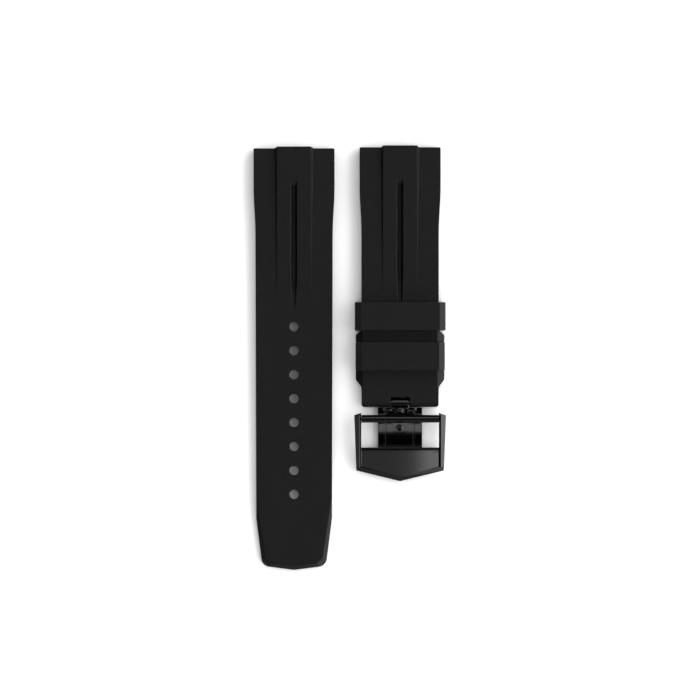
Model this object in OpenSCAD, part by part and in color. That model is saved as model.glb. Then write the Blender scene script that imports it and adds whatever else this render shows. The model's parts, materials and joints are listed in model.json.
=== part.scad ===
// Two-piece rubber watch strap with two keepers and a folding clasp.
// Millimetres. +Z is up and both pieces lie on the surface Z = 0, lug ends towards +Y.
// The tail piece is on the left, the buckle piece on the right.

/* [Strap outline] */
// Width of both lug ends, which is the gap between the watch's lugs
lug_w = 22; // [20:0.5:24]
// Width of the strap past its waist
strap_w = 21; // [19:0.1:21.6]
// Distance from the lug end to the start of the waist
waist_from = 10.5; // [6:0.5:14]
// Distance from the lug end to the end of the waist
waist_to = 23.5; // [18:0.5:30]
// Length of the tail piece from its lug end to its tip
tail_len = 114.6; // [108:0.1:130]
// Length of the buckle piece from its lug end to its clasp end
buckle_len = 70.6; // [70:0.1:80]
// Distance between the centre lines of the two pieces as they lie
lay_pitch = 28.8; // [28:0.2:40]
// How much further up the buckle piece lies than the tail piece
lay_shift = 0.3; // [0:0.1:3]

/* [Strap thickness] */
// Rubber thickness at the lug end
lug_t = 3.9; // [3.6:0.1:4.6]
// Rubber thickness where the centre rib fades out
run_t = 3; // [2.8:0.1:3.2]
// Rubber thickness at the tip of the tail
tail_t = 2.4; // [2.2:0.1:2.8]
// Chamfer under the lug end that clears the watch case
lug_chamfer = 0.8; // [0.2:0.1:1.1]

/* [Centre rib and groove] */
// Width of the flat top of the centre rib
rib_w = 9.3; // [6:0.1:12]
// Height of the rib above the wings at the lug end
rib_h = 1.1; // [0.6:0.1:1.6]
// How much wider the rib is at its foot, on each side, at the lug end
rib_flank = 0.45; // [0.2:0.05:1]
// Distance from the lug end to where the rib fades out
rib_len = 40.5; // [36:0.5:41]
// How far the rib stands proud of the lug end
rib_proud = 0.45; // [0.2:0.05:1]
// Width of the groove at the surface
groove_w = 1.6; // [1:0.1:2.4]
// Width of the groove's floor
groove_floor_w = 0.8; // [0.4:0.1:0.9]
// Depth of the groove
groove_t = 1.6; // [0.5:0.1:1.8]
// Distance from the lug end to the start of the groove
groove_from = 9; // [6:0.5:12]
// Distance from the lug end to where the groove starts to fade
groove_fade = 35; // [30:0.5:36]
// Distance from the lug end to the groove's end
groove_to = 44; // [40:0.5:46]

/* [Tail] */
// Width of the tail where its tip starts to narrow
tail_w = 20.6; // [19:0.1:21]
// Number of holes in the tail
hole_n = 8; // [4:1:8]
// Diameter of the holes
hole_d = 2.55; // [2.3:0.05:3]
// Distance from the lug end to the first hole
hole_first = 48.4; // [47:0.1:52]
// Distance from one hole to the next
hole_pitch = 6.52; // [5.5:0.01:6.6]
// Length of the narrowing tip
tip_len = 14; // [10:0.5:16]
// Width of the tail where the tip's round corners start
tip_w = 17.9; // [14:0.1:19]
// Width of the tip where its shallow point starts
point_w = 13.2; // [10:0.1:13.6]
// Length of the shallow point at the very end
point_len = 0.85; // [0.4:0.05:1.5]
// Length of each round corner, along the strap
corner_len = 2.5; // [1.5:0.1:3]
// Width of the bevel round the tip
tip_bevel = 1.15; // [0.6:0.05:1.5]
// Drop of the bevel round the tip
tip_drop = 0.8; // [0.4:0.1:1.2]
// Distance from the tip's point to where the side bevel starts
bevel_run = 20; // [16:0.5:24]

/* [Clasp end of the strap] */
// Width of the shouldered part that holds the fixed keeper
shoulder_w = 24.1; // [22.6:0.1:24.2]
// Distance from the clasp end to the start of the shoulders, at their lug side
shoulder_reach = 21; // [20:0.1:21.2]
// Distance from the clasp end to the end of the shoulders
shoulder_end = 5.5; // [4.5:0.1:6.5]
// Length of the slanted end of the shoulders towards the lugs
shoulder_slant = 1.4; // [0.8:0.1:2]
// Length of the slanted end of the shoulders towards the clasp
shoulder_tail = 2; // [1:0.1:2.4]
// Drop of the sloping top of each shoulder
shoulder_drop = 1.3; // [0.8:0.1:1.5]
// Rubber thickness at the clasp end, which is rounded over the pin
end_t = 2.5; // [2.4:0.1:2.7]
// Width of the clasp end
end_w = 20.9; // [18:0.1:21]
// Chamfer at the corners of the clasp end
end_corner = 0.5; // [0.2:0.1:0.8]
// Width of the notch in the clasp end
notch_w = 5.1; // [4.9:0.1:5.6]
// Depth of the notch in the clasp end
notch_len = 2.75; // [2.7:0.05:3]
// Rubber left under the notch, beside the closer slot for the knuckle
notch_floor = 0.3; // [0.2:0.05:0.4]

/* [Keepers] */
// Length of the floating keeper along the strap
float_len = 7.7; // [6:0.1:9]
// Length of the fixed keeper along the strap
fixed_len = 7.7; // [6:0.1:8.5]
// Distance from the clasp end to the lug side of the fixed keeper
fixed_reach = 17.7; // [16.5:0.1:17.8]
// Side wall of the keepers
keeper_side = 1.5; // [1.2:0.1:2]
// Top wall of the keepers
keeper_top = 1.2; // [0.9:0.1:1.5]
// Floor of the keepers, under the strap
keeper_floor = 0.9; // [0.7:0.05:1.2]
// Clear height inside the keepers, for the strap and the tail on it
keeper_h = 5.3; // [5.1:0.1:6]
// Gap at each side between the floating keeper and the strap
float_gap = 0.3; // [0.2:0.05:0.5]
// Gap at each side between the fixed keeper and the strap
fixed_gap = 0.1; // [0.05:0.05:0.3]
// Gap between the keepers' floors and the strap on them
floor_gap = 0.1; // [0.05:0.05:0.2]
// Chamfer along the keepers' lower edges
keeper_foot = 0.5; // [0.2:0.1:0.7]
// Chamfer inside the keepers' upper corners
keeper_inner = 0.7; // [0.2:0.1:0.9]
// Gap between the floating keeper at rest and the shoulders
float_rest = 0.1; // [0.05:0.05:0.3]
// Travel of the floating keeper towards the lug end
float_travel = 12; // [6:1:14]

/* [Bars and pins] */
// Bore of the lug tubes, which take the watch's own spring bars
lug_bore = 1.9; // [1.6:0.05:2]
// Outer diameter of the lug tubes
lug_tube_d = 2.5; // [2.3:0.05:2.6]
// Distance from the lug end to the axis of the lug tube
lug_axis = 2; // [1.9:0.1:2.6]
// How far each end of a tube or pin sits inside the rubber round it
end_inset = 0.1; // [0.05:0.05:0.3]
// Diameter of the pin through the clasp end of the strap
pin_d = 1.2; // [1:0.05:1.3]
// Outer diameter of the bushes for that pin
bush_d = 1.8; // [1.7:0.05:1.9]
// Diameter of the fold pin between the two blades
fold_pin_d = 1; // [0.8:0.05:1.1]
// Radial running clearance of the pins that turn
run_gap = 0.05; // [0.03:0.01:0.08]
// Radial gap of parts that are pressed or brazed in place
press_gap = 0.01; // [0.01:0.005:0.02]

/* [Folding clasp] */
// Radius of the underside of the blades, which follows the wrist
blade_r = 70; // [60:5:120]
// Thickness of the two blades
blade_t = 1.1; // [1:0.05:1.2]
// Width of the forked blade over its rails
fork_w = 12; // [11.6:0.1:13]
// Width of each rail of the forked blade
rail_w = 2.05; // [1.9:0.05:2.2]
// Width of each rail at its thinned tip
rail_neck_w = 1.4; // [1:0.05:1.6]
// Length of that thinned tip
rail_neck_len = 0.95; // [0.9:0.05:1.1]
// How far the base blade widens at each side between the thinned tips
ear_w = 0.3; // [0.1:0.05:0.35]
// Gap at each side between the rails and the base blade
fork_gap = 0.35; // [0.25:0.05:0.45]
// How far the base blade's lower ledges reach in under the rails
ledge_lap = 0.15; // [0.1:0.05:0.25]
// Thickness of those ledges
ledge_t = 0.35; // [0.25:0.05:0.45]
// Distance from the strap's end to the tips of the rails
rail_gap = 0.16; // [0.12:0.02:0.4]
// Distance from the strap pin to the fold pin
fold_reach = 17.8; // [17.6:0.1:19]
// Diameter of the knuckles round the fold pin
fold_knuckle_d = 1.9; // [1.8:0.05:2]
// Width of the knuckle in the strap's notch
knuckle_w = 4.3; // [4:0.1:4.4]
// Gap between that knuckle and the slot round it
knuckle_gap = 0.1; // [0.08:0.01:0.15]
// Gap between the blades and the cross piece over them
cross_gap = 0.15; // [0.1:0.05:0.25]
// Thickness of the cross piece and its tongue
cross_t = 0.7; // [0.6:0.05:0.8]
// Length of the cross piece along the clasp
cross_len = 2.8; // [2.6:0.1:3]
// Width of the tongue that carries the peg
tongue_w = 4; // [3.4:0.1:4.6]
// Length of that tongue past the cross piece
tongue_len = 2.9; // [2.8:0.1:3.2]
// Diameter of the peg that takes the tail's holes
peg_d = 2; // [1.6:0.05:2.1]
// Height of the peg above its tongue
peg_h = 1.9; // [1.2:0.1:2]
// Gap between the peg and the cross bar
peg_gap = 0.25; // [0.2:0.05:0.3]
// Diameter of the snap stud's head
stud_d = 1.9; // [1.6:0.05:1.9]
// Thickness of the snap stud's head
stud_head_t = 0.6; // [0.5:0.05:0.6]
// Diameter of the snap stud's neck
stud_neck_d = 1.2; // [0.9:0.05:1.3]
// Distance from the strap pin to the snap stud
stud_reach = 2.25; // [2.25:0.05:2.3]
// Diameter of the catch wire
wire_d = 0.4; // [0.3:0.05:0.4]
// Gap between the catch wire and what is on each side of it
wire_gap = 0.03; // [0.02:0.01:0.05]
// Diameter of the rivet shanks of the stud and the peg
shank_d = 1; // [0.8:0.05:1.1]

/* [Buckle] */
// Width of the buckle frame at the cross bar
frame_w = 24.9; // [24.2:0.1:25.2]
// Width of the buckle frame at its lower corners
frame_foot_w = 23.8; // [22.8:0.1:24]
// Width of each rail of the frame
frame_rail_w = 1.9; // [1.6:0.05:1.95]
// Distance from the strap pin to the cross bar
bar_reach = 4.37; // [4.35:0.01:4.4]
// Outer diameter of the cross bar's tube
bar_d = 2.1; // [1.8:0.05:2.15]
// Bore of the cross bar's tube
bar_bore = 1.4; // [1.35:0.05:1.45]
// Distance from the cross bar to the upper edge of the plate
plate_from = 7.8; // [7.5:0.1:8.4]
// Distance from the cross bar to the plate's lower corners
plate_corner = 14.1; // [13.4:0.1:14.4]
// Distance from the cross bar to the plate's point
plate_point = 17; // [16.4:0.1:18]
// Thickness of the frame at the cross bar
frame_t = 2.1; // [2:0.05:2.2]
// Slope of the frame's top, down towards the point, in degrees
frame_slope = 3.6; // [2.8:0.1:4]
// How far the rails' inner corners reach past the cross bar
rail_head = 1.65; // [1.4:0.05:2]
// How far the rails' outer corners reach past the cross bar
rail_shoulder = 0.95; // [0.6:0.05:1.2]
// Clear height between the blades and the plate over them
plate_gap = 0.7; // [0.6:0.05:0.8]
// Depth of the plate's brushed face below the rails, at its sides
plate_sink = 0.6; // [0.3:0.05:0.7]
// Radius of the dome of that face, across the clasp
face_r = 200; // [150:10:400]
// Length over which that face rolls down to the window
roll_len = 1.6; // [0.8:0.1:2]
// Radius of that roll
roll_r = 25; // [20:1:40]
// Width of the polished bevel inside each rail
inner_bevel = 0.5; // [0.4:0.05:0.8]
// Drop of the rails' sloping outer faces
outer_drop = 0.35; // [0.2:0.05:0.5]
// Width of the polished bevel along the plate's lower edges
foot_bevel = 1.3; // [0.8:0.1:1.6]
// Drop of that bevel
foot_drop = 0.7; // [0.4:0.1:0.9]
// Size of the small bevel at the head of each rail
head_cut = 0.5; // [0.3:0.1:0.7]

/* [Spring bar in the cross bar] */
// Outer diameter of the spring bar's body
body_d = 1.3; // [1.25:0.01:1.32]
// Bore of the spring bar's body
body_bore = 0.94; // [0.9:0.02:1]
// Diameter of the two sprung tips
tip_d = 0.76; // [0.7:0.02:0.8]
// How far each tip reaches into the frame
tip_reach = 1.1; // [0.9:0.1:1.3]
// Gap between each end of the cross bar's tube and the frame
tube_gap = 0.05; // [0.03:0.01:0.08]
// How far each end of the body sits inside the tube
body_inset = 0.7; // [0.4:0.1:1]
// Wall that closes each end of the body round its tip
body_end = 0.35; // [0.2:0.05:0.5]
// Gap between each collar at full travel and the coil
coil_gap = 0.05; // [0.02:0.01:0.1]
// Wire diameter of the coil
coil_wire = 0.15; // [0.1:0.01:0.2]
// Length of each tip's collar inside the body
collar_len = 1.4; // [1:0.1:2]
// Travel of each tip into the body
tip_travel = 1.3; // [1.2:0.1:1.5]
// Chamfer at the end of each tip
tip_cone = 0.15; // [0.05:0.05:0.2]

/* [Hidden] */

$fn = 64;
curve_fn = 1440;
far = 60;
// Length of strap that lies flat before the floating keeper's travel starts
rest_run = 1;
// How far the fold knuckle stands off the surface
fold_lift = 0.05;
// How far the crown of the blades' curve lies past their middle, towards the fold
crown_shift = 0.9;
// Gap round the base blade's ledges in the rebate over them
ledge_gap = 0.1;
// Gap between the base blade's wider part and the rails' full width
ear_gap = 0.15;
// How deep the rib's foot runs into the strap
rib_root = 1.6;
// How far the foot of the rails' inner bevels lies inside the window's sides
bevel_root = 0.05;
// Rise of the dome on each stud
dome = 0.3;
// How far a stud's shank stands out of its curved plate
shank_out = 0.07;

rubber = [0.13, 0.13, 0.135];
keeper_rubber = [0.17, 0.17, 0.175];
plain_steel = [0.62, 0.62, 0.63];
black_steel = [0.27, 0.27, 0.28];
black_polish = [0.2, 0.19, 0.19];

// Where the two pieces lie, so that the whole is centred on the origin
keeper_w = strap_w + 2 * float_gap + 2 * keeper_side;
buckle_half = max(keeper_w, frame_w, shoulder_w) / 2;
lay_w = lug_w / 2 + lay_pitch + buckle_half;
lay_len = tail_len + rib_proud + lay_shift;
tail_x = (lug_w - lay_w) / 2;
buckle_x = lay_w / 2 - buckle_half;
tail_y = tail_len - lay_len / 2;
buckle_y = lay_len / 2 - rib_proud;

// Distances from the lug end to the shoulders, the floating keeper and the fixed keeper
shoulder_from = buckle_len - shoulder_reach;
shoulder_to = buckle_len - shoulder_end;
fixed_from = buckle_len - fixed_reach;

// The floating keeper rests where the shoulders' slants reach its inner width
float_end = shoulder_from + 2 * float_gap * shoulder_slant / (shoulder_w - strap_w) - float_rest;

// The buckle piece rests on its keepers' floors, which lift it off the surface
lift = keeper_floor + floor_gap;
lift_to = float_end - float_len - float_travel - rest_run;

// The pin through the rounded clasp end
pin_y = end_t / 2 - buckle_len;
pin_z = lift + end_t / 2;

// The blades' shared curve, about a centre line far below the clasp
fold_y = pin_y - fold_reach;
fold_z = fold_knuckle_d / 2 + fold_lift;
curve_y = pin_y - fold_reach / 2 - crown_shift;
curve_z = fold_z - sqrt(pow(blade_r + blade_t / 2, 2) - pow(fold_y - curve_y, 2));
blade_top = blade_r + blade_t;
cross_r = blade_top + cross_gap;
cross_top = cross_r + cross_t;
blade_north = -buckle_len - rail_gap;
base_w = fork_w - 2 * rail_w - 2 * fork_gap;
rail_x = (fork_w - rail_w) / 2;
ledge_w = fork_gap + ledge_lap;
neck_south = blade_north - rail_neck_len;

// The cross bar, the cross piece under it and the two studs beside it
bar_y = pin_y - bar_reach;
bar_z = curve_height(cross_top, bar_y) + bar_d / 2;
cross_north = bar_y + cross_len / 2;
cross_south = bar_y - cross_len / 2;
tongue_south = cross_south - tongue_len;
ledge_south = fold_y + 1.5 * fold_knuckle_d;
stud_y = pin_y - stud_reach;
peg_y = bar_y - bar_d / 2 - peg_gap - peg_d / 2;
wire_r = stud_d / 2 + wire_gap + wire_d / 2;
catch_r = wire_r + wire_d / 2 + wire_gap;

// The buckle frame and the spring bar
frame_in = frame_w / 2 - frame_rail_w;
frame_top_z = bar_z + frame_t / 2;
tube_len = 2 * (frame_in - tube_gap);
body_len = tube_len - 2 * body_inset;
collar_out = body_len / 2 - body_end;
coil_len = 2 * (collar_out - collar_len - tip_travel - coil_gap);

// Height of a circle about the blades' centre line
function curve_height(r, y) = curve_z + sqrt(r * r - pow(y - curve_y, 2));

// Ease from 0 to 1 with level ends
function ease(t) = (1 - cos(180 * t)) / 2;

// A half outline, right side, joined to its mirror image
function mirrored(half) = concat(
    half, [for (i = [len(half) - 1 : -1 : 0]) [-half[i][0], half[i][1]]]);

// The right side of both pieces, from the lug end to the end of the waist
function waist_side() = concat(
    [[lug_w / 2, 0]],
    [for (i = [0 : 8]) [
        lug_w / 2 + (strap_w - lug_w) / 2 * ease(i / 8),
        -waist_from - (waist_to - waist_from) * i / 8]]);

// Extrude a YZ outline along X
module across(w, x = 0) translate([x, 0, 0]) rotate([90, 0, 90])
    linear_extrude(w, center = true) children();

// Extrude an XZ outline towards the clasp, from one distance and height to another
module along(from_s, from_z, to_s, to_z) translate([0, -from_s, from_z])
    rotate([90 + atan2(from_z - to_z, to_s - from_s), 0, 0])
        linear_extrude(norm([to_s - from_s, to_z - from_z])) children();

// Cylinder along X
module rod(d, w, y, z, x = 0) translate([x, y, z]) rotate([0, 90, 0])
    cylinder(d = d, h = w, center = true);

// Everything above a plane through the line p to q, which falls away to the line's right
module slope_cut(p, q, z, angle) translate([p[0], p[1], z])
    rotate([0, 0, atan2(q[1] - p[1], q[0] - p[0])]) rotate([angle, 0, 0])
        translate([-far, -far, 0]) cube([2 * far, far, far]);

// Curved plate between two radii of the blades' curve
module band(w, r_in, r_out, north, south, x = 0) across(w, x) intersection() {
    translate([curve_y, curve_z]) difference() {
        circle(r = r_out, $fn = curve_fn);
        circle(r = r_in, $fn = curve_fn);
    }
    translate([south, curve_z]) square([north - south, r_out + 1]);
}

// Each side of the clasp in turn, with $side as -1 or 1
module both_sides() for ($side = [-1, 1]) children();

// Put a piece where the tail piece or the buckle piece lies
module on_tail() translate([tail_x, tail_y, 0]) children();
module on_buckle() translate([buckle_x, buckle_y, 0]) children();

// The centre rib, whose top falls in one plane to the run of the strap
module rib(run_z) {
    slope = (lug_t + rib_h - run_z) / rib_len;
    foot = rib_h + rib_root;
    flank = rib_flank / rib_h * foot;
    side = rib_w / 2 + rib_flank;
    intersection() {
        along(-2, lug_t + rib_h + 2 * slope, rib_len + 2, run_z - 2 * slope) polygon(mirrored(
            [[rib_w / 2, 0], [rib_w / 2 + flank, -foot]]));
        // Past the lug end only the rib's own width stands proud, with its corners cut off
        linear_extrude(far) polygon(mirrored([
            [side - rib_proud, rib_proud], [side, 0], [far, 0], [far, -rib_len - 1]]));
    }
}

// The groove in the rib, sloped at its start and fading out at its end
module groove(run_z) {
    slope = (lug_t + rib_h - run_z) / rib_len;
    start_z = lug_t + rib_h - slope * groove_from;
    fade_z = lug_t + rib_h - slope * groove_fade;
    flank = (groove_w - groove_floor_w) / 2 / groove_t;
    top = start_z + groove_t;
    deep = 1.2 * groove_t;
    // Distance from the lug end, and height at which the groove has its full width
    stations = [[groove_from, start_z], [groove_fade, fade_z], [groove_to, run_z + groove_t]];
    points = [for (p = stations, corner = [
        [-groove_floor_w / 2, p[1] - groove_t], [groove_floor_w / 2, p[1] - groove_t],
        [groove_w / 2 + flank * (top - p[1]), top], [-groove_w / 2 - flank * (top - p[1]), top]])
            [corner[0], -p[0], corner[1]]];
    sides = [for (i = [0, 4], k = [0 : 3]) [i + k, i + 4 + k, i + 4 + (k + 1) % 4, i + (k + 1) % 4]];
    intersection() {
        polyhedron(points, concat([[0, 1, 2, 3], [11, 10, 9, 8]], sides));
        across(2 * far) polygon([
            [-groove_from, far], [-groove_from, start_z], [-groove_from - deep, start_z - deep],
            [-groove_to - 1, start_z - deep - 1], [-groove_to - 1, far]]);
    }
}

// The bore for a lug tube
module lug_hole() rod(lug_tube_d + 2 * press_gap, 2 * far, -lug_axis, lug_t / 2);

// The tube in a lug end
module lug_tube() difference() {
    rod(lug_tube_d, lug_w - 2 * end_inset, -lug_axis, lug_t / 2);
    rod(lug_bore, lug_w + 1, -lug_axis, lug_t / 2);
}

module tail_strap() {
    // Right side of the tip: a straight taper, a round corner and half of a shallow point
    corner_s = tail_len - point_len - corner_len;
    corner_w = (tip_w - point_w) / 2;
    tip_side = concat(
        [[tail_w / 2, tip_len - tail_len]],
        [for (a = [0 : 18 : 90]) [
            point_w / 2 + corner_w * cos(a), -corner_s - corner_len * sin(a)]],
        [[0, -tail_len]]);
    // Corners of the flat top inside the tip's bevel
    bevel_s = tail_len - bevel_run;
    bevel_w = strap_w / 2
        + (tail_w - strap_w) / 2 * (bevel_s - waist_to) / (tail_len - tip_len - waist_to);
    flat_side = [tip_w / 2 - tip_bevel, -corner_s];
    flat_corner = [point_w / 2 - tip_bevel / 4, point_len + tip_bevel - tail_len];
    flat_end = [0, tip_bevel - tail_len];
    tilt = atan2(tip_drop, tip_bevel);

    color(rubber) on_tail() difference() {
        union() {
            intersection() {
                linear_extrude(2 * lug_t) polygon(mirrored(concat(waist_side(), tip_side)));
                across(2 * far) polygon([
                    [-lug_chamfer, 0], [-tail_len, 0], [-tail_len, tail_t], [-bevel_s, tail_t],
                    [-rib_len, run_t], [0, lug_t], [0, lug_chamfer]]);
            }
            rib(run_t);
        }
        groove(run_t);
        lug_hole();
        for (i = [0 : hole_n - 1]) translate([0, -hole_first - i * hole_pitch, -1])
            cylinder(d = hole_d, h = 2 * lug_t);
        both_sides() scale([$side, 1, 1]) {
            slope_cut(flat_side, [bevel_w, -bevel_s], tail_t, tilt);
            slope_cut(flat_corner, flat_side, tail_t, tilt);
            slope_cut(flat_end, flat_corner, tail_t, tilt);
        }
    }
}

module tail_lug_tube() color(plain_steel) on_tail() lug_tube();

module buckle_strap() {
    groove_near = -fixed_from;
    groove_far = -fixed_from - fixed_len;
    edge = strap_w / 2;
    shoulder = shoulder_w / 2;
    slot_w = knuckle_w + 2 * knuckle_gap;
    slot_len = end_t + knuckle_gap;
    end_side = [
        [edge, -shoulder_from], [shoulder, -shoulder_from - shoulder_slant],
        [shoulder, groove_near], [edge, groove_near],
        [edge, groove_far], [shoulder, groove_far],
        [shoulder, shoulder_tail - shoulder_to], [edge, -shoulder_to],
        [end_w / 2, end_corner - buckle_len], [end_w / 2 - end_corner, -buckle_len]];
    // Sloping tops of the shoulders, parallel to the strap's own top
    fall = (run_t - end_t) / (-pin_y - rib_len);
    top_z = lift + run_t;

    color(rubber) on_buckle() difference() {
        union() {
            intersection() {
                linear_extrude(2 * lug_t) polygon(mirrored(concat(waist_side(), end_side)));
                across(2 * far) {
                    polygon([
                        [-lug_chamfer, 0], [-lift_to, lift], [pin_y, lift], [pin_y, lift + end_t],
                        [-rib_len, top_z], [0, lug_t], [0, lug_chamfer]]);
                    translate([pin_y, pin_z]) circle(d = end_t);
                }
            }
            rib(top_z);
        }
        groove(top_z);
        lug_hole();
        rod(bush_d + 2 * press_gap, 2 * far, pin_y, pin_z);
        // The notch, and a closer slot through its floor for the knuckle
        translate([-notch_w / 2, -buckle_len - 1, lift + notch_floor])
            cube([notch_w, notch_len + 1, far]);
        translate([-slot_w / 2, -buckle_len - 1, 0]) cube([slot_w, slot_len + 1, far]);
        both_sides() scale([$side, 1, 1])
            along(shoulder_from, top_z - fall * (shoulder_from - rib_len),
                shoulder_to, top_z - fall * (shoulder_to - rib_len))
                polygon([[edge - 0.3, 0], [shoulder, -shoulder_drop], [far, -shoulder_drop],
                    [far, 2], [edge - 0.3, 2]]);
    }
}

module buckle_lug_tube() color(plain_steel) on_buckle() lug_tube();

// One keeper: a loop of rubber with its upper corners sloped
module keeper(gap, from_s, len) {
    in_w = strap_w / 2 + gap;
    out_w = in_w + keeper_side;
    in_top = keeper_floor + keeper_h;
    top = in_top + keeper_top;
    translate([0, -from_s, 0]) rotate([90, 0, 0]) linear_extrude(len) difference() {
        polygon(mirrored([
            [out_w - keeper_foot, 0], [out_w, keeper_foot],
            [out_w, top - keeper_side], [out_w - keeper_side, top]]));
        polygon(mirrored([
            [in_w, keeper_floor], [in_w, in_top - keeper_inner], [in_w - keeper_inner, in_top]]));
    }
}

module floating_keeper() color(keeper_rubber) on_buckle()
    keeper(float_gap, float_end - float_len, float_len);

module fixed_keeper() color(keeper_rubber) on_buckle() keeper(fixed_gap, fixed_from, fixed_len);

module strap_end_bushes() color(plain_steel) on_buckle() {
    bush_len = (end_w - notch_w) / 2 - 2 * end_inset;
    both_sides() difference() {
        rod(bush_d, bush_len, pin_y, pin_z, $side * (notch_w / 2 + end_inset + bush_len / 2));
        rod(pin_d + 2 * press_gap, 2 * far, pin_y, pin_z);
    }
}

module strap_pin() color(black_steel) on_buckle() rod(pin_d, end_w - 2 * end_inset, pin_y, pin_z);

// The blade that hangs from the strap pin and lies between the fork's rails
module base_blade() {
    foot_y = blade_north - 0.5;
    neck_ease = 0.05;
    color(black_steel) on_buckle() difference() {
        union() {
            band(base_w, blade_r, blade_top, blade_north, fold_y);
            band(base_w + 2 * ear_w, blade_r, blade_top, blade_north, neck_south + ear_gap);
            band(base_w + 2 * ledge_w, blade_r, blade_r + ledge_t, cross_north, ledge_south);
            rod(end_t, knuckle_w, pin_y, pin_z);
            rod(fold_knuckle_d, base_w, fold_y, fold_z);
            // Neck from the strap's notch down to the blade
            across(knuckle_w) polygon([
                [foot_y, curve_height(blade_r, foot_y)],
                [blade_north + 2 * neck_ease, curve_height(blade_r, blade_north)],
                [pin_y - 0.6 * end_t / 2, pin_z - 0.8 * end_t / 2],
                [pin_y, pin_z - 0.4 * end_t / 2],
                [pin_y - 0.8 * end_t / 2, pin_z + 0.2 * end_t / 2],
                [blade_north + neck_ease, curve_height(blade_top, blade_north) + neck_ease],
                [foot_y, curve_height(blade_top, foot_y)]]);
        }
        rod(pin_d + 2 * run_gap, 2 * far, pin_y, pin_z);
        rod(fold_pin_d + 2 * run_gap, 2 * far, fold_y, fold_z);
        translate([0, stud_y, 0]) cylinder(d = shank_d + 2 * press_gap, h = far);
    }
}

// A riveted stud: a shank through its plate, a neck and a domed head
module stud(y, plate_in, plate_out, neck_d, head_d, head_z, head_t) {
    foot_z = curve_height(plate_in, y);
    top_z = curve_height(plate_out, y) + shank_out;
    translate([0, y, 0]) rotate_extrude() polygon(concat(
        [[0, foot_z], [shank_d / 2, foot_z], [shank_d / 2, top_z], [neck_d / 2, top_z],
            [neck_d / 2, head_z], [head_d / 2, head_z]],
        [for (a = [0 : 15 : 90]) [
            head_d / 2 * cos(a), head_z + head_t - dome + dome * sin(a)]]));
}

module snap_stud() color(black_polish) on_buckle()
    stud(stud_y, blade_r + shank_out, blade_top, stud_neck_d, stud_d,
        curve_height(cross_top, stud_y) + wire_gap, stud_head_t);

module fold_pin() color(black_polish) on_buckle() rod(fold_pin_d, fork_w, fold_y, fold_z);

// The forked blade: two rails, a cross piece over the base blade and the seats of the cross bar
module middle_blade() {
    relief = rail_w - rail_neck_w;
    saddle = 0.6 * bar_d;
    color(black_steel) on_buckle() difference() {
        union() {
            both_sides() {
                band(rail_w, blade_r, blade_top, blade_north, fold_y, $side * rail_x);
                rod(fold_knuckle_d, rail_w, fold_y, fold_z, $side * rail_x);
                // Riser up to the cross piece and the saddle on it
                band(rail_w, blade_r + blade_t / 2, cross_top, cross_north, cross_south, $side * rail_x);
                across(rail_w, $side * rail_x) polygon([
                    [bar_y - saddle, curve_height(cross_r, bar_y)],
                    [bar_y - saddle, bar_z - bar_d / 4],
                    [bar_y + saddle, bar_z - bar_d / 4],
                    [bar_y + saddle, curve_height(cross_r, bar_y)]]);
            }
            band(fork_w, cross_r, cross_top, cross_north, cross_south);
            band(tongue_w, cross_r, cross_top, bar_y, tongue_south);
            band(knuckle_w, cross_r, cross_top, blade_north, bar_y);
        }
        rod(bar_d + 2 * press_gap, 2 * far, bar_y, bar_z);
        rod(fold_pin_d + 2 * press_gap, 2 * far, fold_y, fold_z);
        translate([0, peg_y, 0]) cylinder(d = shank_d + 2 * press_gap, h = far);
        // Mouth of the catch round the snap stud
        translate([0, stud_y, 0]) cylinder(r = catch_r, h = far);
        translate([-catch_r, stud_y, 0]) cube([2 * catch_r, far, far]);
        // Rebate over the base blade's ledges
        band(base_w + 2 * ledge_w + 2 * ledge_gap, blade_r - 1, blade_r + ledge_t + ledge_gap,
            cross_north + ledge_gap, ledge_south - ledge_gap);
        // Relief inside the rails' tips
        both_sides() translate([$side * (fork_w / 2 - rail_neck_w - relief / 2), 0, 0]) {
            translate([-relief / 2, neck_south + relief / 2, 0]) cube([relief, far, blade_t + 1]);
            translate([0, neck_south + relief / 2, 0]) cylinder(d = relief, h = blade_t + 1);
        }
    }
}

// U-shaped wire in the mouth of the catch, drawn sprung open round the stud's head
module catch_wire() {
    wire_z = curve_height((cross_r + cross_top) / 2, stud_y);
    leg = blade_north - wire_d / 2 - stud_y;
    color(black_polish) on_buckle() translate([0, stud_y, wire_z]) {
        rotate([0, 0, 180]) rotate_extrude(angle = 180) translate([wire_r, 0]) circle(d = wire_d);
        both_sides() translate([$side * wire_r, leg, 0]) rotate([90, 0, 0])
            cylinder(d = wire_d, h = leg);
    }
}

module strap_peg() color(black_polish) on_buckle()
    stud(peg_y, cross_r + shank_out, cross_top, peg_d, peg_d,
        curve_height(cross_top, peg_y) + shank_out, peg_h);

module cross_bar_tube() color(black_polish) on_buckle() difference() {
    rod(bar_d, tube_len, bar_y, bar_z);
    rod(bar_bore, tube_len + 1, bar_y, bar_z);
}

module spring_bar_body() color(plain_steel) on_buckle() difference() {
    rod(body_d, body_len, bar_y, bar_z);
    rod(body_bore, 2 * collar_out + tube_gap, bar_y, bar_z);
    rod(tip_d + 2 * run_gap, body_len + 1, bar_y, bar_z);
}

// The hidden coil, drawn as a sleeve of its outer size at its pressed length
module spring_bar_coil() color(plain_steel) on_buckle() difference() {
    rod(body_bore - 2 * run_gap, coil_len, bar_y, bar_z);
    rod(body_bore - 2 * run_gap - 2 * coil_wire, coil_len + 1, bar_y, bar_z);
}

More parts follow.
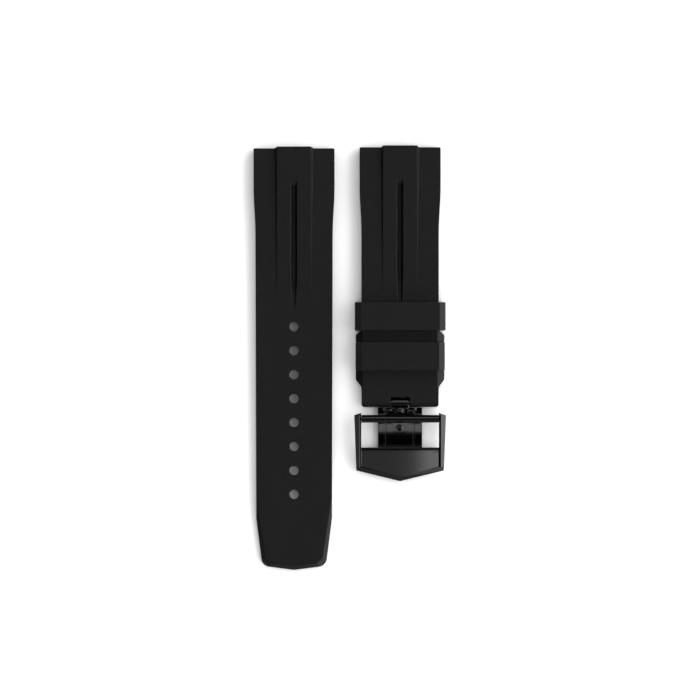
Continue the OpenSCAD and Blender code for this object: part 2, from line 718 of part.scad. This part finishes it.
// One sprung tip, whose collar stays inside the body
module spring_bar_tip(side) {
    tip_out = frame_in + tip_reach;
    color(plain_steel) on_buckle() translate([0, bar_y, bar_z]) rotate([0, side * 90, 0]) {
        translate([0, 0, collar_out - collar_len])
            cylinder(d = body_bore - 2 * run_gap, h = collar_len);
        translate([0, 0, collar_out]) cylinder(d = tip_d, h = tip_out - tip_cone - collar_out);
        translate([0, 0, tip_out - tip_cone])
            cylinder(d1 = tip_d, d2 = tip_d - 2 * tip_cone, h = tip_cone);
    }
}

// The plate's face: domed across the clasp and rolled down at the window, as a solid of revolution
module plate_face() {
    axis_z = -plate_sink - sqrt(face_r * face_r - frame_in * frame_in);
    translate([0, 0, axis_z]) rotate([-90, 0, 0]) rotate_extrude($fn = curve_fn) polygon(concat(
        [[0, 0], [0, -far], [face_r, -far]],
        [for (i = [0 : 6]) let(t = roll_len * i / 6) [
            face_r - roll_r + sqrt(roll_r * roll_r - t * t), t - roll_len - plate_from]]));
}

module buckle_frame() {
    half = frame_w / 2;
    foot = frame_foot_w / 2;
    ridge = frame_in + inner_bevel;
    outer_fall = outer_drop / (half - ridge);
    head_rise = (rail_head - rail_shoulder) / frame_rail_w;
    foot_angle = atan2(plate_point - plate_corner, foot);
    foot_in = foot_bevel / cos(foot_angle);

    color(black_steel) on_buckle() translate([0, bar_y, 0]) difference() {
        intersection() {
            linear_extrude(far) polygon(mirrored([
                [0, rail_head + head_rise * frame_in], [half, rail_shoulder],
                [foot, -plate_corner], [0, -plate_point]]));
            across(2 * far) difference() {
                translate([-far / 2, 0]) square([far, frame_top_z + 2]);
                translate([curve_y - bar_y, curve_z]) circle(r = blade_top + plate_gap, $fn = curve_fn);
            }
        }
        // Window, open at the cross bar's side
        translate([-frame_in, -plate_from, 0]) cube([2 * frame_in, far, far]);
        rod(tip_d + 2 * run_gap, 2 * far, 0, bar_z);
        translate([0, 0, frame_top_z]) rotate([frame_slope, 0, 0]) {
            // Sunk face of the plate, the rails' inner bevels and their sloping outer faces
            difference() {
                rotate([90, 0, 0]) linear_extrude(2 * far, center = true) polygon(mirrored([
                    [frame_in - bevel_root, -far], [frame_in - bevel_root, -plate_sink],
                    [ridge, 0], [half + 1, -outer_fall * (half + 1 - ridge)], [half + 1, 4]]));
                plate_face();
            }
            both_sides() scale([$side, 1, 1]) {
                // Polished bevel along the lower edge
                slope_cut([0, foot_in - plate_point], [foot, foot_in - plate_corner], -plate_sink,
                    atan2(foot_drop, foot_bevel));
                // Small bevel at the rail's head
                slope_cut([half, rail_shoulder - head_cut], [frame_in, rail_head - head_cut], -0.1, 45);
            }
        }
    }
}

tail_strap();
tail_lug_tube();
buckle_strap();
buckle_lug_tube();
floating_keeper();
fixed_keeper();
strap_end_bushes();
strap_pin();
base_blade();
snap_stud();
fold_pin();
middle_blade();
catch_wire();
strap_peg();
cross_bar_tube();
spring_bar_body();
spring_bar_coil();
spring_bar_tip(-1);  // spring_bar_tip_left
spring_bar_tip(1);  // spring_bar_tip_right
buckle_frame();
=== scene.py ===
# %% [markdown]
# A two-piece rubber watch strap with a folding clasp, lying on a white table and seen from
# straight above. The solid pieces come ready made at their real size. This lesson gives them
# soft moulded edges, rubber and blackened steel, and a small daylight studio.

# %% Load the model
import math

import bpy
import json
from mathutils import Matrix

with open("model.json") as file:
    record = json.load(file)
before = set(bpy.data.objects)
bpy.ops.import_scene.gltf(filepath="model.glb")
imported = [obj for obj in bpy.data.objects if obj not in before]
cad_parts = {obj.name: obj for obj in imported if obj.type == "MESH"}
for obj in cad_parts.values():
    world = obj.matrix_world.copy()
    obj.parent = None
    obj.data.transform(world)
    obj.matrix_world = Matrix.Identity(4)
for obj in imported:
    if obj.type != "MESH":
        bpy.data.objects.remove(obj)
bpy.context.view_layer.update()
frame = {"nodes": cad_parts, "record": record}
nodes = frame["nodes"]
MM = 0.001

# %% [markdown]
# The photograph is taken from straight above with a long lens, so the sides of the pieces
# don't show. A 200 mm lens a metre away does the same. The picture is a square of 700 pixels,
# and its scale on the tops of the pieces fixes how far away the camera stands.

# %% Camera
PICTURE_PX = 700
PX_PER_MM = 3.682
CENTRE_PX = (349.73, 358.0)
TOP_HEIGHT = 3.2 * MM
LENS = 200.0
SENSOR = 36.0

picture_width = PICTURE_PX / PX_PER_MM * MM
camera_data = bpy.data.cameras.new("camera")
camera_data.lens = LENS
camera_data.sensor_width = SENSOR
camera = bpy.data.objects.new("camera", camera_data)
bpy.context.scene.collection.objects.link(camera)
camera.location = (
    (PICTURE_PX / 2 - CENTRE_PX[0]) / PX_PER_MM * MM,
    (CENTRE_PX[1] - PICTURE_PX / 2) / PX_PER_MM * MM,
    picture_width * LENS / SENSOR + TOP_HEIGHT,
)
bpy.context.scene.camera = camera
print("camera height in mm:", round(camera.location.z / MM))

# %% [markdown]
# Colours are written as they look on a screen and turned into the linear values that light
# adds up in. One small function adds a node with its settings and links, so that every
# material below reads as a short list.


# %% Colour and node helpers
def colour(hex_value):
    """An sRGB hex value as linear red, green, blue and alpha."""
    channels = [int(hex_value[i : i + 2], 16) / 255 for i in (1, 3, 5)]
    linear = [c / 12.92 if c <= 0.04045 else ((c + 0.055) / 1.055) ** 2.4 for c in channels]
    return (*linear, 1.0)


def add(tree, kind, inputs=None, **settings):
    """A node with its settings. An input is a value, or another node's output to link."""
    node = tree.nodes.new(kind)
    for name, value in settings.items():
        setattr(node, name, value)
    for name, value in (inputs or {}).items():
        if isinstance(value, bpy.types.NodeSocket):
            tree.links.new(value, node.inputs[name])
        else:
            node.inputs[name].default_value = value
    return node


def new_material(name):
    """An empty material and its node tree."""
    material = bpy.data.materials.new(name)
    material.use_nodes = True
    material.node_tree.nodes.clear()
    return material, material.node_tree


# %% [markdown]
# The table is a matt white sheet. Part of its white is a glow that only the camera and mirror
# reflections see, which keeps it white in the picture without pouring more light on the strap.
# The glow is dimmed by ambient occlusion where something stands close by, and is gone where less
# than GLOW_FROM of the sky is open: painted shade that keeps the holes and the foot of each piece
# dark. The rest is an ordinary matt surface, which takes the soft shadow.

# %% Table
TABLE_SIZE = 3.0
TABLE_ALBEDO = 0.96
TABLE_GLOW = 0.65
GLOW_REACH = 30 * MM
GLOW_FROM = 0.17

material, tree = new_material("matt_white_table")
path = add(tree, "ShaderNodeLightPath")
seen = add(tree, "ShaderNodeMath", {0: path.outputs["Is Camera Ray"], 1: path.outputs["Is Glossy Ray"]},
           operation="MAXIMUM")
seen = add(tree, "ShaderNodeMath", {0: seen.outputs[0], 1: path.outputs["Is Transmission Ray"]},
           operation="MAXIMUM")
# painted shade: ambient occlusion dims the table's glow in the holes and at the foot of each piece
near = add(tree, "ShaderNodeAmbientOcclusion", {"Distance": GLOW_REACH})
painted_shade_fade = add(tree, "ShaderNodeMapRange", {"Value": near.outputs["AO"], "From Min": GLOW_FROM})
glow = add(tree, "ShaderNodeMath", {0: seen.outputs[0], 1: painted_shade_fade.outputs[0]}, operation="MULTIPLY")
glow = add(tree, "ShaderNodeMath", {0: glow.outputs[0], 1: TABLE_GLOW}, operation="MULTIPLY")
matt = add(tree, "ShaderNodeBsdfDiffuse", {"Color": (TABLE_ALBEDO, TABLE_ALBEDO, TABLE_ALBEDO, 1.0)})
shine = add(tree, "ShaderNodeEmission", {"Color": (1, 1, 1, 1), "Strength": glow.outputs[0]})
both = add(tree, "ShaderNodeAddShader", {0: matt.outputs[0], 1: shine.outputs[0]})
add(tree, "ShaderNodeOutputMaterial", {"Surface": both.outputs[0]})

mesh = bpy.data.meshes.new("table")
half = TABLE_SIZE / 2
corners = [(-half, -half, 0), (half, -half, 0), (half, half, 0), (-half, half, 0)]
mesh.from_pydata(corners, [], [(0, 1, 2, 3)])
mesh.materials.append(material)
table = bpy.data.objects.new("table", mesh)
bpy.context.scene.collection.objects.link(table)

# %% [markdown]
# Flat black steel is a mirror first and a colour second, so the room decides how it looks, and
# there is no lamp: everything is lit by the room itself. A bright window fills the right side
# and leaves a short soft shadow on the left of each piece. A paler wall stands on the left, and
# a long soft box hangs just up the picture from straight overhead, where the camera's own dark
# shape is. The blades are slightly curved, so each shows the soft box only where it leans the
# right way. Each panel is a glow between soft edges, and an edge is a slope: how far across or
# up the picture its place lies for each step of height.

# %% The room
PANELS = {
    "window": (2.5, [("across", 0.35, 0.8)]),
    "left wall": (0.4, [("across", -0.4, -0.6), ("across", -1.2, -0.9)]),
    "soft box": (1.3, [("along", 0.022, 0.04), ("along", 0.14, 0.11)]),
    "upper panel": (1.4, [("along", 0.45, 0.6), ("along", 1.2, 1.0), ("across", -0.8, -0.4)]),
    "lower band": (0.36, [("along", -0.07, -0.11), ("along", -0.24, -0.18)]),
    "lower band's end": (2.4, [
        ("along", -0.07, -0.11), ("along", -0.24, -0.18), ("across", 0.03, 0.12)]),
    "lower wall": (0.3, [("along", -0.9, -1.3)]),
}
LOWEST = 0.05

world = bpy.data.worlds.new("room")
bpy.context.scene.world = world
world.use_nodes = True
tree = world.node_tree
tree.nodes.clear()
direction = add(tree, "ShaderNodeTexCoord")
parts = add(tree, "ShaderNodeSeparateXYZ", {0: direction.outputs["Generated"]})
height = add(tree, "ShaderNodeMath", {0: parts.outputs["Z"], 1: LOWEST}, operation="MAXIMUM")
slopes = {}
for slope, part in (("across", "X"), ("along", "Y")):
    slopes[slope] = add(tree, "ShaderNodeMath", {0: parts.outputs[part], 1: height.outputs[0]},
                        operation="DIVIDE").outputs[0]
room = 0.0
for glow, edges in PANELS.values():
    panel = glow
    for slope, dark, full in edges:
        edge = add(tree, "ShaderNodeMapRange", {
            "Value": slopes[slope], "From Min": dark, "From Max": full}, interpolation_type="SMOOTHSTEP")
        panel = add(tree, "ShaderNodeMath", {0: panel, 1: edge.outputs["Result"]},
                    operation="MULTIPLY").outputs[0]
    room = add(tree, "ShaderNodeMath", {0: room, 1: panel}, operation="MAXIMUM").outputs[0]
path = add(tree, "ShaderNodeLightPath")
strength = add(tree, "ShaderNodeMix", {
    "Factor": path.outputs["Is Camera Ray"], "A": room, "B": 1.0}, data_type="FLOAT")
back = add(tree, "ShaderNodeBackground", {"Color": (1, 1, 1, 1), "Strength": strength.outputs["Result"]})
add(tree, "ShaderNodeOutputWorld", {"Surface": back.outputs[0]})
bpy.context.scene.view_settings.view_transform = "Standard"
print("panels:", ", ".join(PANELS))

# %% [markdown]
# Moulded rubber and ground steel have no knife edges. The solid pieces do, so each gets a
# stack of modifiers: merge the corners, join the triangles of each flat face, round the sharp
# edges, and shade them smooth. The radius is that of the real edge.

# %% Round the edges
MERGE_MM = 0.0005
FLAT_DEGREES = 0.1
AREA_WEIGHT = 80


def round_edges(name, radius_mm, segments=3, sharp_degrees=18):
    """Rounds a piece's sharp edges without touching its own mesh."""
    piece = nodes[name]
    weld = piece.modifiers.new("merge corners", "WELD")
    weld.merge_threshold = MERGE_MM * MM
    flat = piece.modifiers.new("join flat faces", "DECIMATE")
    flat.decimate_type = "DISSOLVE"
    flat.angle_limit = math.radians(FLAT_DEGREES)
    edge = piece.modifiers.new("round edges", "BEVEL")
    edge.width = radius_mm * MM
    edge.segments = segments
    edge.limit_method = "ANGLE"
    edge.angle_limit = math.radians(sharp_degrees)
    edge.use_clamp_overlap = False
    edge.miter_outer = "MITER_ARC"
    smooth = piece.modifiers.new("shade smooth", "NODES")
    smooth.node_group = smooth_group
    weighted = piece.modifiers.new("even shading", "WEIGHTED_NORMAL")
    weighted.weight = AREA_WEIGHT
    weighted.keep_sharp = False


smooth_group = bpy.data.node_groups.new("shade_smooth", "GeometryNodeTree")
smooth_group.interface.new_socket("Geometry", in_out="INPUT", socket_type="NodeSocketGeometry")
smooth_group.interface.new_socket("Geometry", in_out="OUTPUT", socket_type="NodeSocketGeometry")
source = add(smooth_group, "NodeGroupInput")
smoothed = add(smooth_group, "GeometryNodeSetShadeSmooth", {"Geometry": source.outputs[0]})
add(smooth_group, "NodeGroupOutput", {0: smoothed.outputs[0]})

EDGE_RADIUS_MM = {
    "tail_strap": 0.16, "buckle_strap": 0.16, "floating_keeper": 0.2, "fixed_keeper": 0.2,
    "base_blade": 0.06, "middle_blade": 0.06, "buckle_frame": 0.08,
}
for name, radius in EDGE_RADIUS_MM.items():
    round_edges(name, radius)
print("rounded:", ", ".join(EDGE_RADIUS_MM))

# %% [markdown]
# The strap is black fluorocarbon rubber, pressed in a spark-eroded steel mould. The mould's
# skin leaves a fine matt grain of about a tenth of a millimetre, so the rubber shines softly
# and never like a mirror. Its grain is drawn here about twice as coarse, so that it shows.

# %% Moulded rubber
GRAIN_MM = 0.22
GRAIN_DEPTH_MM = 0.02
GRAIN_TONES = 0.25
BLOOM_MM = 6.0
BLOOM_VARIES = 0.04
RUBBER_SHINE = 0.2
NOISE_LOW, NOISE_HIGH = 0.3, 0.7


def moulded_rubber(name, tone, roughness):
    """Matt black rubber with the fine grain of its mould."""
    material, tree = new_material(name)
    place = add(tree, "ShaderNodeTexCoord").outputs["Object"]
    grain = add(tree, "ShaderNodeTexNoise", {
        "Vector": place, "Scale": 1 / (GRAIN_MM * MM), "Detail": 2.0, "Roughness": 0.6})
    bloom = add(tree, "ShaderNodeTexNoise", {
        "Vector": place, "Scale": 1 / (BLOOM_MM * MM), "Detail": 3.0, "Roughness": 0.55})
    tones = add(tree, "ShaderNodeMapRange", {
        "Value": grain.outputs["Fac"], "From Min": NOISE_LOW, "From Max": NOISE_HIGH,
        "To Min": 1 - GRAIN_TONES, "To Max": 1 + GRAIN_TONES})
    worn = add(tree, "ShaderNodeMapRange", {
        "Value": bloom.outputs["Fac"], "From Min": NOISE_LOW, "From Max": NOISE_HIGH,
        "To Min": roughness - BLOOM_VARIES, "To Max": roughness + BLOOM_VARIES})
    shade = add(tree, "ShaderNodeVectorMath", {
        0: colour(tone)[:3], "Scale": tones.outputs["Result"]}, operation="SCALE")
    bump = add(tree, "ShaderNodeBump", {
        "Strength": 0.25, "Distance": GRAIN_DEPTH_MM * MM, "Height": grain.outputs["Fac"]})
    surface = add(tree, "ShaderNodeBsdfPrincipled", {
        "Base Color": shade.outputs[0], "Roughness": worn.outputs["Result"],
        "Specular IOR Level": RUBBER_SHINE, "Normal": bump.outputs["Normal"]})
    add(tree, "ShaderNodeOutputMaterial", {"Surface": surface.outputs[0]})
    return material


strap_rubber = moulded_rubber("moulded_black_rubber", "#171718", 0.38)
keeper_rubber = moulded_rubber("moulded_keeper_rubber", "#181819", 0.38)

# %% [markdown]
# The clasp is stainless steel, blackened by a thin hard carbon coating. The coating follows
# the metal: where the steel was brushed it stays striped, where it was polished it is a dark
# mirror. The buckle frame has both. Its flat faces are brushed and its steep bevels polished,
# so the tilt of a face, taken in the piece's own space, picks the finish. The steepest walls
# are also painted a darker colour, as painted shade.

# %% Blackened steel
BRUSH_MM = 0.16
BRUSH_STRETCH = 60.0
BRUSH_VARIES = 0.02
BRUSH_DEPTH_MM = 0.006
POLISHED_FROM = 22
WALLS_FROM = 44
TILT_BLEND = 2
# Steep walls get this darker colour: painted shade for the dark they show from above.
PAINTED_SHADE_WALL_TONE = "#1c1c1c"
WALL_ROUGHNESS = 0.45


def blackened_steel(name, tone, brushed, polished, sheen_stretch=0.75):
    """Coated steel: brushed where it lies flat, polished where it slopes, matt on steep walls, which are
    painted darker as painted shade.
    """
    material, tree = new_material(name)
    place = add(tree, "ShaderNodeTexCoord")
    stretched = add(tree, "ShaderNodeMapping", {
        "Vector": place.outputs["Object"], "Scale": (1.0, 1 / BRUSH_STRETCH, 1.0)})
    lines = add(tree, "ShaderNodeTexNoise", {
        "Vector": stretched.outputs[0], "Scale": 1 / (BRUSH_MM * MM), "Detail": 3.0, "Roughness": 0.65})
    tilt = add(tree, "ShaderNodeSeparateXYZ", {0: place.outputs["Normal"]})

    shares = []
    for degrees in (POLISHED_FROM, WALLS_FROM):
        share = add(tree, "ShaderNodeMapRange", {
            "Value": tilt.outputs["Z"],
            "From Min": math.cos(math.radians(degrees - TILT_BLEND)),
            "From Max": math.cos(math.radians(degrees + TILT_BLEND))})
        shares.append(share.outputs["Result"])
    smooth, steep = shares
    brushed_finish = add(tree, "ShaderNodeMapRange", {
        "Value": lines.outputs["Fac"], "From Min": NOISE_LOW, "From Max": NOISE_HIGH,
        "To Min": brushed - BRUSH_VARIES, "To Max": brushed + BRUSH_VARIES})
    finish = add(tree, "ShaderNodeMix", {
        "Factor": smooth, "A": brushed_finish.outputs["Result"], "B": polished}, data_type="FLOAT")
    finish = add(tree, "ShaderNodeMix", {
        "Factor": steep, "A": finish.outputs["Result"], "B": WALL_ROUGHNESS}, data_type="FLOAT")
    # painted shade: steep walls take the darker wall colour instead of the steel's own tone
    shade = add(tree, "ShaderNodeMix", {
        "Factor": steep, "A": colour(tone), "B": colour(PAINTED_SHADE_WALL_TONE)}, data_type="RGBA")
    depth = add(tree, "ShaderNodeMapRange", {
        "Value": smooth, "From Min": 0.0, "From Max": 1.0, "To Min": 0.2, "To Max": 0.0})
    bump = add(tree, "ShaderNodeBump", {
        "Strength": depth.outputs["Result"], "Distance": BRUSH_DEPTH_MM * MM,
        "Height": lines.outputs["Fac"]})
    across_lines = add(tree, "ShaderNodeVectorTransform", {"Vector": (1.0, 0.0, 0.0)},
                       vector_type="VECTOR", convert_from="OBJECT", convert_to="WORLD")
    surface = add(tree, "ShaderNodeBsdfPrincipled", {
        "Base Color": shade.outputs["Result"], "Metallic": 1.0, "Roughness": finish.outputs["Result"],
        "Anisotropic": sheen_stretch, "Tangent": across_lines.outputs[0],
        "Normal": bump.outputs["Normal"]})
    add(tree, "ShaderNodeOutputMaterial", {"Surface": surface.outputs[0]})
    return material


brushed_black = blackened_steel("brushed_black_steel", "#484848", 0.09, 0.07)
polished_black = blackened_steel("polished_black_steel", "#454443", 0.12, 0.1, 0.0)
plain_steel = blackened_steel("drawn_plain_steel", "#b4b4b6", 0.3, 0.25)

# %% Dress the pieces
FINISHES = {
    "strap_rubber": strap_rubber, "keeper_rubber": keeper_rubber,
    "brushed_black_steel": brushed_black, "polished_black_steel": polished_black,
    "plain_steel": plain_steel,
}
for part in frame["record"]["subparts"]:
    piece = nodes[part["node"]]
    for slot in piece.material_slots:
        slot.link = "OBJECT"
        slot.material = FINISHES[part["material_slot"]]
